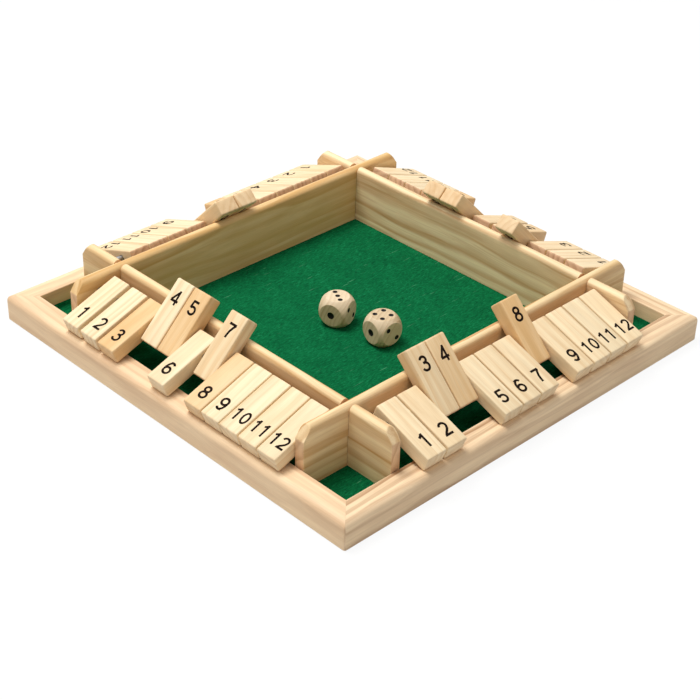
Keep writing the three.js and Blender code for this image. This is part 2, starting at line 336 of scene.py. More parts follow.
# The felt: one square of green pressed-wool felt, 0.7 mm thick, glued over the whole floor
# before the dividers are dropped in. It was cut a little wide, so its edge turns up at the rails,
# except under the dividers' ends. Its face is uneven, with fibres lying all ways.
FELT_HALF = 134.7
FELT_LOW = 3.2
FELT_TOP = 3.9
FELT_STEP = 1.1
FELT_SWELL = 0.07
FELT_TURN_UP = 3.0
FELT_TURN_WIDTH = 1.0
DIVIDER_MIDDLE = 99.1
HELD_BY_DIVIDER = 3.8
FREE_AGAIN = 4.0


def crossed_fibres(tree, place, laid, scale, **noise):
    """The strongest of three sets of streaks that lie across each other. Each set is one noise,
    drawn out by the scale, with its own turn and shift."""
    strongest = None
    for turn, shift in laid:
        along = add(tree, "Mapping", {"Vector": place, "Location": (shift, shift, 0),
                                      "Rotation": (0, 0, math.radians(turn)),
                                      "Scale": scale}).outputs[0]
        streak = add(tree, "TexNoise", {"Vector": along, "Scale": 1.0, **noise}).outputs["Fac"]
        if strongest is None:
            strongest = streak
            continue
        strongest = add(tree, "Math", {0: strongest, 1: streak}, operation="MAXIMUM").outputs[0]
    return strongest


def felt_finish():
    """Wool felt, dyed green: a dull, rough face with a little sheen. Fibres about 2.5 mm long and
    0.5 mm apart lie in every direction, so three crossed sets of streaks lighten and darken it.
    A few long pale fibres lie loose on top."""
    finish, tree, shader = new_finish("green_wool_felt", {
        "Roughness": 0.95, "Specular IOR Level": 0.03, "Sheen Weight": 0.08,
        "Sheen Roughness": 0.5, "Sheen Tint": linear("#2E9B66")})
    place = add(tree, "TexCoord").outputs["Object"]
    total = crossed_fibres(tree, place, ((20, 0.0), (80, 3.7), (140, 9.1)), (300, 1300, 300),
                           Detail=2.5, Roughness=0.65, Distortion=0.6)
    broad = add(tree, "TexNoise", {"Vector": place, "Scale": 60.0, "Detail": 3.0}).outputs["Fac"]
    nap = add(tree, "Math", {0: broad, 1: 0.12}, operation="MULTIPLY").outputs[0]
    level = add(tree, "Math", {0: total, 1: nap}, operation="ADD").outputs[0]
    shade = stops(add(tree, "ValToRGB", {"Fac": level}),
                  [(0.5, linear("#05482A")), (0.86, linear("#1F8557")), (0.68, linear("#0C693C"))])
    hairs = crossed_fibres(tree, place, ((35, 4.0), (100, 8.0), (160, 2.5)), (55, 900, 300),
                           Detail=1.0, Distortion=0.4)
    loose = add(tree, "MapRange", {"Value": hairs, "From Min": 0.75, "From Max": 0.82}).outputs[0]
    soft = add(tree, "Math", {0: loose, 1: 0.3}, operation="MULTIPLY").outputs[0]
    lint = add(tree, "Mix", {0: soft, 6: shade.outputs["Color"], 7: linear("#7FC19C")},
               data_type="RGBA").outputs[2]
    tree.links.new(lint, shader.inputs["Base Color"])
    bump = add(tree, "Bump", {"Height": level, "Strength": 0.6, "Distance": 0.0004}).outputs[0]
    tree.links.new(bump, shader.inputs["Normal"])
    return finish


def waves(x, y, length, count):
    """A smooth uneven surface from -1 to 1: the mean of sine waves of about one length that run
    every way."""
    way = chance.uniform(0, 2 * math.pi, count)
    size = 2 * math.pi / (length * chance.uniform(0.7, 1.4, count))
    start = chance.uniform(0, 2 * math.pi, count)
    run = np.cos(way) * x[..., None] + np.sin(way) * y[..., None]
    return np.sin(run * size + start).mean(-1) * math.sqrt(2)


green_felt = felt_finish()
border = FELT_HALF - np.array([0, 0.15, 0.35, 0.6, 0.9, 1.25, 1.65, 2.1, 2.7, 3.5])
middle = np.linspace(-1, 1, int(2 * border[-1] / FELT_STEP) + 1)[1:-1] * border[-1]
line = np.concatenate([-border, middle, border[::-1]])
steps = len(line) - 1
gx, gy = np.meshgrid(line, line)
rise = FELT_SWELL * (0.6 * waves(gx, gy, 7.0, 12) + 0.5 * waves(gx, gy, 2.6, 12))
edge = np.minimum(FELT_HALF - np.abs(gx), FELT_HALF - np.abs(gy))
along_edge = np.where(np.abs(gx) > np.abs(gy), np.abs(gy), np.abs(gx))
from_divider = np.clip((np.abs(along_edge - DIVIDER_MIDDLE) - HELD_BY_DIVIDER) / FREE_AGAIN, 0, 1)
free = from_divider ** 2 * (3 - 2 * from_divider)
top = (FELT_TOP + rise * np.clip(edge / 2, 0, 1)
       + FELT_TURN_UP * free * np.exp(-(edge / FELT_TURN_WIDTH) ** 2))
under = np.full_like(top, FELT_LOW)
points = np.concatenate([np.stack([gx, gy, top], -1).reshape(-1, 3),
                         np.stack([gx, gy, under], -1).reshape(-1, 3)])
n = steps + 1
here = np.arange(n * n).reshape(n, n)
a, b, c, d = here[:-1, :-1], here[:-1, 1:], here[1:, 1:], here[1:, :-1]
upper = np.stack([a, b, c, d], -1).reshape(-1, 4)
rim = np.concatenate([here[0, :], here[1:, -1], here[-1, -2::-1], here[-2:0:-1, 0]])
wall = np.stack([rim, rim + n * n, np.roll(rim, -1) + n * n, np.roll(rim, -1)], -1)
faces = np.concatenate([upper, wall]).tolist() + [(rim[::-1] + n * n).tolist()]
used = np.unique(np.concatenate([upper.ravel(), rim, rim + n * n]))
renumber = np.full(len(points), -1)
renumber[used] = np.arange(len(used))
felt = put("felt_mat", points[used], [renumber[f].tolist() for f in faces], [green_felt])
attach(felt, "board")
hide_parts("felt")

# The four dividers: sanded pine boards 6.6 mm thick whose top edge is fully rounded and whose
# top corners are sawn off steeply. They are halved over each other where they cross: south and
# north are notched from below, west and east from above. Blind holes take the rods.
HALF_PLAY = 95.8
BOARD = 6.6
BOARD_LOW = 4.1
BOARD_TOP = 42.5
BOARD_HALF_LENGTH = 134.7
BOARD_CHAMFER = 5.8
BOARD_DROP = 8.2
BOARD_EASE = 0.35
LAP_HEIGHT = 23.3
LAP_GAP = 0.25
ROD_OFFSET = 118.0
ROD_HEIGHT = 32.1
ROD_RADIUS = 1.8
SOCKET_RADIUS = 2.0
SOCKET_DEPTH = 4.0

# The same pine, cut wide of the pith: tan lines 5.5 mm apart in the log, which lie wider on the
# board's face. The north board is a plainer, more golden length.
divider_pine = sawn_wood("divider_pine", "#FBE2B4", "#BE8240", ("#E2BA90", "#BE8E64"),
                         ring=5.5, contrast=0.9, warm="#E6B974")
# The east board is drawn paler and less warm than the others: painted light, standing for the light
# that falls on its inner face.
BOARD_TONE_AND_LIGHT = {"south": 0.0, "west": 0.0, "north": 0.5, "east": -0.3}


def soft_min(a, b, width):
    """The smaller of two heights, with the corner between them eased over a width."""
    h = np.clip(0.5 + 0.5 * (b - a) / width, 0, 1)
    return b * (1 - h) + a * h - width * h * (1 - h)


def board_ring(x, inset, low, cut):
    """A divider's section at x: an upright board with a half-round top, drawn in by the inset.
    cut is the height of the sloping saw cut there, and low the underside, higher in a notch."""
    radius = BOARD / 2 - inset
    middle = -HALF_PLAY - BOARD / 2
    shoulder = BOARD_TOP - BOARD / 2
    turn = np.linspace(0, math.pi, 25)
    y = np.concatenate([[-radius], np.linspace(-radius, radius, 5)[1:-1], [radius],
                        np.full(5, radius), radius * np.cos(turn), np.full(5, -radius)])
    up = np.linspace(0, 1, 7)[1:-1]
    z = np.concatenate([np.full(5, BOARD_LOW + inset), BOARD_LOW + up * (shoulder - BOARD_LOW),
                        shoulder + radius * np.sin(turn), shoulder - up * (shoulder - BOARD_LOW)])
    z = soft_min(z, cut - inset, 0.5)
    return np.stack([np.full(len(y), x), y + middle, np.maximum(z, low + inset)], 1)


def board_rings(over):
    """Rings along a divider: eased ends, the sloping cuts, and the two notches, whose walls are
    pairs of rings 0.04 mm apart."""
    tip = BOARD_HALF_LENGTH
    notch = HALF_PLAY + BOARD / 2
    wide = BOARD / 2 + LAP_GAP
    step = 0.04
    places = []
    for k in range(5):
        turn = math.radians(90 * k / 4)
        x, inset = tip - BOARD_EASE * (1 - math.cos(turn)), BOARD_EASE * (1 - math.sin(turn))
        places.append((x, inset, False))
    sawn_to = tip - BOARD_CHAMFER - 1.2
    places += [(x, 0, False) for x in np.arange(tip - 2 * BOARD_EASE, sawn_to, -0.3)]
    places += [(x, 0, False) for x in np.linspace(tip - BOARD_CHAMFER - 2, notch + wide + step, 8)]
    places += [(notch + wide, 0, True), (notch, 0, True), (notch - wide, 0, True)]
    places += [(x, 0, False) for x in np.linspace(notch - wide - step, 0, 12)]
    places += [(-x, inset, inside) for x, inset, inside in places[-2::-1]]
    rings = []
    for x, inset, inside in places[::-1]:
        past = (abs(x) - (tip - BOARD_CHAMFER)) * BOARD_DROP / BOARD_CHAMFER
        cut = BOARD_TOP + 1.0 - max(0.0, past + 1.0)
        low = BOARD_LOW
        if inside and over:
            low = LAP_HEIGHT + LAP_GAP / 2
        if inside and not over:
            cut = LAP_HEIGHT - LAP_GAP / 2
        rings.append(board_ring(x, inset, low, cut))
    return np.stack(rings)


def drilled(made, cutters):
    """Cuts round holes in the object's mesh, and throws the cutters away."""
    for cutter in cutters:
        hole = made.modifiers.new("hole", "BOOLEAN")
        hole.operation, hole.solver, hole.object = "DIFFERENCE", "EXACT", cutter
    bpy.context.view_layer.update()
    cut = bpy.data.meshes.new_from_object(made.evaluated_get(bpy.context.evaluated_depsgraph_get()))
    made.modifiers.clear()
    made.data = cut
    for cutter in cutters:
        bpy.data.objects.remove(cutter)


def round_bar(radius, y_low, y_high, x, z, around=40):
    """A closed round bar along Y through x and z."""
    turn = np.linspace(0, 2 * math.pi, around, endpoint=False)
    rings = [np.stack([x + radius * np.sin(turn), np.full(around, y), z + radius * np.cos(turn)], 1)
             for y in (y_low, y_high)]
    return skin(np.stack(rings))


for side, quarter in QUARTERS.items():
    over = quarter % 2 == 0
    points, faces = skin(board_rings(over))
    board = put(f"divider_board_{side}", points, faces, [divider_pine])
    cutters = []
    for end in (-1, 1):
        points, faces = round_bar(SOCKET_RADIUS, -HALF_PLAY - SOCKET_DEPTH, -HALF_PLAY + 1,
                                  end * ROD_OFFSET, ROD_HEIGHT)
        cutters.append(put("socket", points, faces, []))
    drilled(board, cutters)
    local = np.zeros(len(board.data.vertices) * 3, np.float32)
    board.data.vertices.foreach_get("co", local)
    local = local.reshape(-1, 3).astype(float) / MM
    points = turned(local, 2, 90 * quarter) * MM
    board.data.vertices.foreach_set("co", points.astype(np.float32).ravel())
    board.data.shade_smooth()
    board.data.set_sharp_from_angle(angle=math.radians(35))
    # The pith lay 22 to 33 mm to one side of the board, at about the height of its top.
    way = math.radians(chance.uniform(35, 60)) * (1 if chance.uniform() < 0.5 else -1)
    pith = np.array([chance.uniform(-300, 300), 100 + 38 * math.sin(way), -10 - 45 * math.cos(way)])
    give_grain(board, local, pith, chance.uniform(0.0, 0.15) + BOARD_TONE_AND_LIGHT[side], steep=0.78)
    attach(board, "board")
    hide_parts(f"divider_{side}")

# The four rods: drawn steel, 3.6 mm, cut to length with lightly broken ends that sit in the
# dividers' blind holes. The tiles turn on them.
ROD_HALF = 99.5
ROD_CHAMFER = 0.3


def drawn_steel():
    """Bright drawn mild steel: a grey metal with fine lengthwise draw marks, about 0.2 mm apart,
    and a soft gloss."""
    finish, tree, shader = new_finish("drawn_steel", {"Metallic": 1.0})
    place = add(tree, "Attribute", attribute_name="grain").outputs["Vector"]
    marks = add(tree, "VectorMath", {0: place, 1: (0.05, 5.0, 5.0)},
                operation="MULTIPLY").outputs[0]
    streak = add(tree, "TexNoise", {"Vector": marks, "Scale": 1.0, "Detail": 2.0}).outputs["Fac"]
    shade = stops(add(tree, "ValToRGB", {"Fac": streak}),
                  [(0.3, linear("#8E9093")), (0.7, linear("#C4C6C8"))])
    tree.links.new(shade.outputs["Color"], shader.inputs["Base Color"])
    rough = add(tree, "MapRange", {"Value": streak, "To Min": 0.42, "To Max": 0.26}).outputs[0]
    tree.links.new(rough, shader.inputs["Roughness"])
    return finish


steel = drawn_steel()


def bar_along_x(stations, around=40):
    """A closed bar along X from (x, radius) stations."""
    turn = np.linspace(0, 2 * math.pi, around, endpoint=False)
    return np.stack([np.stack([np.full(around, x), r * np.cos(turn), r * np.sin(turn)], 1)
                     for x, r in stations])


for side, quarter in QUARTERS.items():
    ends = ROD_HALF - ROD_CHAMFER
    stations = [(-ROD_HALF, ROD_RADIUS - ROD_CHAMFER), (-ends, ROD_RADIUS)]
    stations += [(x, ROD_RADIUS) for x in np.linspace(-90, 90, 13)]
    stations += [(ends, ROD_RADIUS), (ROD_HALF, ROD_RADIUS - ROD_CHAMFER)]
    local, faces = skin(bar_along_x(stations))
    points = turned(local + [0, -ROD_OFFSET, ROD_HEIGHT], 2, 90 * quarter)
    bar = put(f"steel_rod_{side}", points, faces, [steel])
    give_grain(bar, local, np.array([0, 0, 0.0]))
    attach(bar, "board")
    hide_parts(f"rod_{side}")

# The spacers: 44 thin washers of pale hard fibre, one before every tile but the first. They hold
# the tiles apart, so that each one turns without dragging its neighbour.
TILES = 12
TILE_WIDTH = 14.3
SPACER_WIDTH = 0.4
SPACER_RADIUS = 3.5
RUNNING_GAP = 0.2
PITCH = TILE_WIDTH + SPACER_WIDTH + 2 * RUNNING_GAP
ROW_SLACK = 10.4
ROW_END_GAP = 0.4
SLACK_BEFORE = {
    "south": [0.644, 0.048, 0.019, 0, 0.019, 0.014, 0.038, 0.024, 0.029, 0.024, 0.038, 0.019],
    "west": [0.317, 0.231, 0.144, 0.038, 0.019, 0.019, 0.163, 0.005, 0, 0, 0.029, 0],
    "north": [0] * 12,
    "east": [0.558, 0, 0, 0, 0, 0.115, 0.096, 0, 0, 0, 0, 0],
}
SPACER_BORE = 1.86
SPACER_EASE = 0.08
spacer_fibre = sawn_wood("pale_fibre", "#F0DDB6", "#E0C492", ("#E8D2A6", "#D9BC8A"),
                         ring=2.0, contrast=0.4, warm="#E9CD9D", roughness=0.6)


def tile_start(side, number):
    """Where a tile begins along its row: the row's slack lies in unequal shares before its
    tiles."""
    slack = ROW_SLACK * sum(SLACK_BEFORE[side][:number])
    return -HALF_PLAY + ROW_END_GAP + slack + (number - 1) * PITCH


def ring_about_x(width, inner, outer, ease, around=36):
    """A washer about X: its four eased corners are carried round the axis."""
    section = outline([(-width / 2, inner, ease * 0.4), (width / 2, inner, ease * 0.4),
                       (width / 2, outer, ease), (-width / 2, outer, ease)], 3)
    turn = np.linspace(0, 2 * math.pi, around, endpoint=False)[:, None]
    x = np.broadcast_to(section[:, 0], (around, len(section)))
    return np.stack([x, -section[:, 1] * np.sin(turn), section[:, 1] * np.cos(turn)], -1)


for side, quarter in QUARTERS.items():
    all_local, all_points, all_faces = [], [], []
    for number in range(2, TILES + 1):
        middle = tile_start(side, number) - RUNNING_GAP - SPACER_WIDTH / 2
        ring = ring_about_x(SPACER_WIDTH, SPACER_BORE, SPACER_RADIUS, SPACER_EASE)
        local, faces = skin(ring, wrap=True)
        spin = chance.uniform(0, 360)
        start = sum(len(p) for p in all_points)
        all_faces += [[i + start for i in face] for face in faces]
        all_local.append(local + [number * 20, 14, 9])
        on_rod = turned(local, 0, spin) + [middle, -ROD_OFFSET, ROD_HEIGHT]
        all_points.append(turned(on_rod, 2, 90 * quarter))
    rings = put(f"spacers_{side}", np.concatenate(all_points), all_faces, [spacer_fibre], sharp=50)
    give_grain(rings, np.concatenate(all_local), np.zeros(3))
    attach(rings, "board")
    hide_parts(f"rod_{side}")

# The 48 tiles: sticks of pale sanded pine, 42 by 14.3 by 9.8 mm with eased edges, drilled across
# near one end and threaded on the rod. Most lie with the free end on the rail, and the ones
# that have been played lean over the divider.
TILE_LENGTH = 42.0
TILE_THICK = 9.8
TILE_NEAR = 11.2
TILE_END_EASE = 1.1
TILE_SIDE_EASE = 0.8
TILE_BORE = 2.1
TILE_BORE_EASE = 0.12
FLIPPED = {"south": [3, 4, 8], "west": [4, 5, 7], "north": [7, 8], "east": [4, 7, 8]}
LYING = 19.9715
LEANING = 45.1751

# Selected pale pine: nearly white early wood and thin honey lines about 4 mm apart, so that most
# tiles show two or three soft streaks along their length. Their ends show pinkish brown bands.
# WARM_WOOD_AND_SHADE and MILD_WARMTH_AND_SHADE list the tiles drawn warmer and darker. This is
# partly warmer sticks and partly painted shade, on the played tiles and on the tiles beside them,
# where shade falls.
tile_pine = sawn_wood("tile_pine", "#F6E0B8", "#DAAC70", ("#D8AF88", "#B08361"),
                      ring=4.2, contrast=0.5, warm="#E7B97C")
WARM_WOOD_AND_SHADE = {"south": [4, 8], "west": [3, 5], "north": [6], "east": [7, 8, 9]}
MILD_WARMTH_AND_SHADE = {"south": [3], "west": [7, 8], "north": [7, 8], "east": [4, 5]}


def tile_outline(inset):
    """The side view of a tile, drawn in by an inset, as points at fixed shares of its border, and
    the matching points of the bore: each lies on the line from the bore's middle."""
    far, near, half = TILE_NEAR - TILE_LENGTH, TILE_NEAR, TILE_THICK / 2
    ease = max(TILE_END_EASE - inset, 0.15)
    f, m, h = far + inset, near - inset, half - inset
    arcs = outline([(f, -h, ease), (m, -h, ease), (m, h, ease), (f, h, ease)], 5).reshape(4, 6, 2)
    stretch = np.array([-18, -12, -8, -5.5, -3.6, -2.1, -0.7, 0.7, 2.1, 3.6, 5.5, 8])
    rise = np.array([-2.6, -0.9, 0.9, 2.6])
    loop = [arcs[0], np.stack([stretch, np.full(12, -h)], 1), arcs[1],
            np.stack([np.full(4, m), rise], 1), arcs[2],
            np.stack([stretch[::-1], np.full(12, h)], 1), arcs[3],
            np.stack([np.full(4, f), rise[::-1]], 1)]
    return np.concatenate(loop)


def tile_shape():
    """The tile's whole surface as a ring of rings: out along the border from one side face to
    the other, in to the bore, back through the bore, and out again."""
    border = tile_outline(0)
    way = border / np.linalg.norm(border, axis=1)[:, None]
    wide = TILE_WIDTH / 2
    rings = []
    turns = np.radians(np.linspace(0, 90, 5))
    for turn in turns:
        inset = TILE_SIDE_EASE * (1 - math.sin(turn))
        rings.append((-wide + TILE_SIDE_EASE * (1 - math.cos(turn)), tile_outline(inset)))
    rings += [(x, border) for x in (-3.0, 0.0, 3.0)]
    for turn in turns[::-1]:
        inset = TILE_SIDE_EASE * (1 - math.sin(turn))
        rings.append((wide - TILE_SIDE_EASE * (1 - math.cos(turn)), tile_outline(inset)))
    mouth = [(wide, way * (TILE_BORE + 0.9)), (wide, way * (TILE_BORE + TILE_BORE_EASE)),
             (wide - TILE_BORE_EASE, way * TILE_BORE)]
    rings += mouth + [(-x, p) for x, p in mouth[::-1]]
    return skin(np.stack([np.column_stack([np.full(len(p), x), p]) for x, p in rings]), wrap=True)


def tile_place(points, side, number):
    """From the tile's own place, bore on X and free end towards -Y, to its place in the row."""
    tilt = 180 + LEANING if number in FLIPPED[side] else LYING
    middle = tile_start(side, number) + TILE_WIDTH / 2
    on_rod = turned(points, 0, tilt) + [middle, -ROD_OFFSET, ROD_HEIGHT]
    return turned(on_rod, 2, 90 * QUARTERS[side])


tile_points, tile_faces = tile_shape()
# The log's length runs along the tile, so the grain's first axis is the tile's Y.
tile_grain = tile_points[:, [1, 0, 2]]
for side in QUARTERS:
    for number in range(1, TILES + 1):
        name = f"{side}_{number:02d}"
        tile = put(f"flip_{name}", tile_place(tile_points, side, number), tile_faces, [tile_pine])
        tone = chance.uniform(-0.35, 0.1)
        # The warmer, darker tone on these tiles is partly their wood and partly painted shade.
        tone = tone + 0.6 * (number in WARM_WOOD_AND_SHADE[side]) + 0.35 * (number in MILD_WARMTH_AND_SHADE[side])
        give_grain(tile, tile_grain, log_place(45), tone, chance.uniform(0.95, 1.02), low_end=0.25)
        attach(tile, f"tile_{name}")
        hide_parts(f"tile_{name}")

# The numbers: plain upright figures printed in dark brown ink on both faces of every tile, near
# its free end. On each face they read upright for the player outside the row.
FIGURE_HEIGHT = 9.3
PAIR_HEIGHT = 8.5
FIGURE_FROM_END = 11.0
FIGURE_ADVANCE = 0.74
ONE_TUCK = 0.06
INK_WEIGHT = 0.08
INK_PROUD = 0.03


def printing_ink():
    """Pad-printing ink soaked into bare wood: matt brown-black, a little thin along the fibres."""
    finish, tree, shader = new_finish("printing_ink", {"Roughness": 0.85,
                                                       "Specular IOR Level": 0.08})
    place = add(tree, "Attribute", attribute_name="grain").outputs["Vector"]
    thin = add(tree, "VectorMath", {0: place, 1: (0.4, 3.0, 3.0)}, operation="MULTIPLY").outputs[0]
    cover = add(tree, "TexNoise", {"Vector": thin, "Scale": 1.0, "Detail": 2.0}).outputs["Fac"]
    shade = stops(add(tree, "ValToRGB", {"Fac": cover}),
                  [(0.35, linear("#120B08")), (0.8, linear("#2A1C14"))])
    tree.links.new(shade.outputs["Color"], shader.inputs["Base Color"])
    return finish


def arc(x, y, across, up, start, end, steps=20):
    """Points on part of an ellipse, by its middle, half sizes and angles in degrees."""
    turn = np.radians(np.linspace(start, end, steps))
    return np.stack([x + across * np.cos(turn), y + up * np.sin(turn)], 1)


def figure_strokes():
    """Each figure's pen strokes in a box one high: middle lines of straight and elliptic parts."""
    w = INK_WEIGHT
    six_bowl = arc(0, 0.315, 0.245, 0.24, 90, 450, 34)
    six_back = np.concatenate([arc(0.01, 0.70, 0.235, 0.225, 25, 110, 10),
                               arc(0.06, 0.46, 0.305, 0.46, 112, 195, 12)])
    return {
        "0": [arc(0, 0.5, 0.24, 0.5 - w, 0, 360, 40)],
        "1": [np.array([[0.08, 0], [0.08, 1]]),
              np.array([[0.08, 0.94], [-0.02, 0.83], [-0.18, 0.74]])],
        "2": [np.concatenate([arc(0, 0.70, 0.24, 0.225, 170, -20, 20),
                              [[0.16, 0.47], [0.03, 0.34], [-0.13, 0.2], [-0.24, 0.04],
                               [-0.25, -0.03]]]),
              np.array([[-0.29, w], [0.31, w]])],
        "3": [arc(-0.005, 0.735, 0.215, 0.19, 165, -90, 24),
              arc(0, 0.305, 0.25, 0.24, 90, -165, 26), np.array([[-0.09, 0.545], [0.0, 0.545]])],
        "4": [np.array([[0.12, 0], [0.12, 1]]), np.array([[0.14, 0.98], [-0.29, 0.29]]),
              np.array([[-0.325, 0.275], [0.31, 0.275]])],
        "5": [np.array([[-0.19, 1 - w], [0.26, 1 - w]]), np.array([[-0.165, 0.97], [-0.225, 0.47]]),
              arc(-0.005, 0.32, 0.255, 0.25, 145, -160, 30)],
        "6": [six_bowl, six_back],
        "7": [np.array([[-0.29, 1 - w], [0.3, 1 - w]]),
              np.array([[0.27, 0.93], [0.12, 0.72], [0.0, 0.45], [-0.05, 0.2], [-0.07, -0.02]])],
        "8": [arc(0, 0.735, 0.205, 0.19, 0, 360, 34), arc(0, 0.295, 0.245, 0.225, 0, 360, 36)],
        "9": [np.array([0, 1]) + six_bowl * [-1, -1], np.array([0, 1]) + six_back * [-1, -1]],
    }


def stroke_quads(line):
    """A pen stroke's quads: the middle line offset to both sides by the pen's half width, held
    between the foot and head lines of the figure."""
    closed = np.allclose(line[0], line[-1])
    way = np.diff(line, axis=0)
    way /= np.linalg.norm(way, axis=1)[:, None]
    before = np.concatenate([way[-1:] if closed else way[:1], way])
    after = np.concatenate([way, way[:1] if closed else way[-1:]])
    side = before + after
    side /= np.linalg.norm(side, axis=1)[:, None]
    out = np.stack([-side[:, 1], side[:, 0]], 1) / np.clip((side * after).sum(1), 0.6, 1)[:, None]
    left, right = line + INK_WEIGHT * out, line - INK_WEIGHT * out
    left[:, 1], right[:, 1] = np.clip(left[:, 1], 0, 1), np.clip(right[:, 1], 0, 1)
    return np.stack([right[:-1], right[1:], left[1:], left[:-1]], 1)


def number_plan(text, strokes):
    """The flat shape of a number, as points and triangles: the strokes of its figures merged into
    one outline and centred."""
    height = FIGURE_HEIGHT if len(text) == 1 else PAIR_HEIGHT
    quads = []
    for i, figure in enumerate(text):
        tuck = ONE_TUCK if figure == "1" and len(text) == 2 else 0
        shift = (i - (len(text) - 1) / 2) * FIGURE_ADVANCE - tuck
        quads += [stroke_quads(line) + [shift, -0.5] for line in strokes[figure]]
    corners = np.concatenate(quads).reshape(-1, 2) * height
    loops = np.arange(len(corners)).reshape(-1, 4).tolist()
    merged = delaunay_2d_cdt([tuple(p) for p in corners.tolist()], [], loops, 1, 1e-4)
    points, triangles, owners = merged[0], merged[2], merged[5]
    inked = [list(t) for t, owner in zip(triangles, owners) if owner]
    used, back = np.unique(inked, return_inverse=True)
    return np.array([tuple(p) for p in points])[used], back.reshape(-1, 3)


def ink_solid(points, triangles, low, high):
    """A thin closed solid over a flat shape: its two faces, and a wall along each border edge."""
    count = len(points)
    edges = np.concatenate([triangles[:, [0, 1]], triangles[:, [1, 2]], triangles[:, [2, 0]]])
    back = {(b, a) for a, b in edges.tolist()}
    border = np.array([e for e in edges.tolist() if tuple(e) not in back])
    wall = np.stack([border[:, 1], border[:, 0], border[:, 0] + count, border[:, 1] + count], 1)
    solid = np.concatenate([np.column_stack([points, np.full(count, high)]),
                            np.column_stack([points, np.full(count, low)])])
    return solid, triangles.tolist() + (triangles[:, ::-1] + count).tolist() + wall.tolist()


ink = printing_ink()
strokes = figure_strokes()
for number in range(1, TILES + 1):
    flat, triangles = number_plan(str(number), strokes)
    solid, faces = ink_solid(flat, triangles, -INK_PROUD, INK_PROUD)
    face_up = solid + [0, TILE_NEAR - TILE_LENGTH + FIGURE_FROM_END, TILE_THICK / 2]
    face_down = face_up * [1, -1, -1] + [0, 2 * (TILE_NEAR - TILE_LENGTH + FIGURE_FROM_END), 0]
    both = np.concatenate([face_up, face_down])
    both_faces = faces + [[i + len(solid) for i in face] for face in faces]
    for side in QUARTERS:
        name = f"{side}_{number:02d}"
        print_on = put(f"number_{name}", tile_place(both, side, number), both_faces, [ink],
                       sharp=20)
        give_grain(print_on, both[:, [1, 0, 2]], np.array([13.0 * number, 40, 0]))
        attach(print_on, f"tile_{name}")

# The two dice: hardwood cubes tumbled round until each face is a round flat, 18.6 mm across, with
# drilled pips painted black. A one has a larger pip than the other numbers.
DIE_HALF = 9.3
DIE_FLAT = 7.4
PIP_RADIUS = 1.15
ONE_PIP_RADIUS = 1.9
PIP_DEPTH = 0.7
PIP_RIM = 0.4
PIP_SPACING = 3.45
FLAT_EASE = 0.2
CREASE_EASE = 0.12
FELT_GAP = 0.2
DICE = {"left": (-0.058, 0.077, 20.3, 3), "right": (-0.003, -0.277, -4.0, 4)}

# Birch, sealed with a thin clear coat: fine even grain and a faint gloss.
die_wood = sawn_wood("sealed_birch", "#E6D0AE", "#BE9B72", ("#D4BB94", "#BA9B72"),
                     ring=2.4, contrast=0.4, warm="#DEC09A", roughness=0.42)


def pip_paint():
    """Black enamel in the drilled pips: smooth with a small gloss, thinner at the rim."""
    finish, tree, shader = new_finish("pip_enamel", {"Roughness": 0.5,
                                                     "Specular IOR Level": 0.2})
    place = add(tree, "TexCoord").outputs["Object"]
    cover = add(tree, "TexNoise", {"Vector": place, "Scale": 1500.0}).outputs["Fac"]
    shade = stops(add(tree, "ValToRGB", {"Fac": cover}),
                  [(0.3, linear("#0D0B0A")), (0.8, linear("#1E1916"))])
    tree.links.new(shade.outputs["Color"], shader.inputs["Base Color"])
    return finish


PIPS = {
    1: [(0, 0)], 2: [(1, 1), (-1, -1)], 3: [(1, 1), (0, 0), (-1, -1)],
    4: [(1, 1), (1, -1), (-1, 1), (-1, -1)], 5: [(1, 1), (1, -1), (0, 0), (-1, 1), (-1, -1)],
    6: [(1, 1), (1, 0), (1, -1), (-1, 1), (-1, 0), (-1, -1)],
}


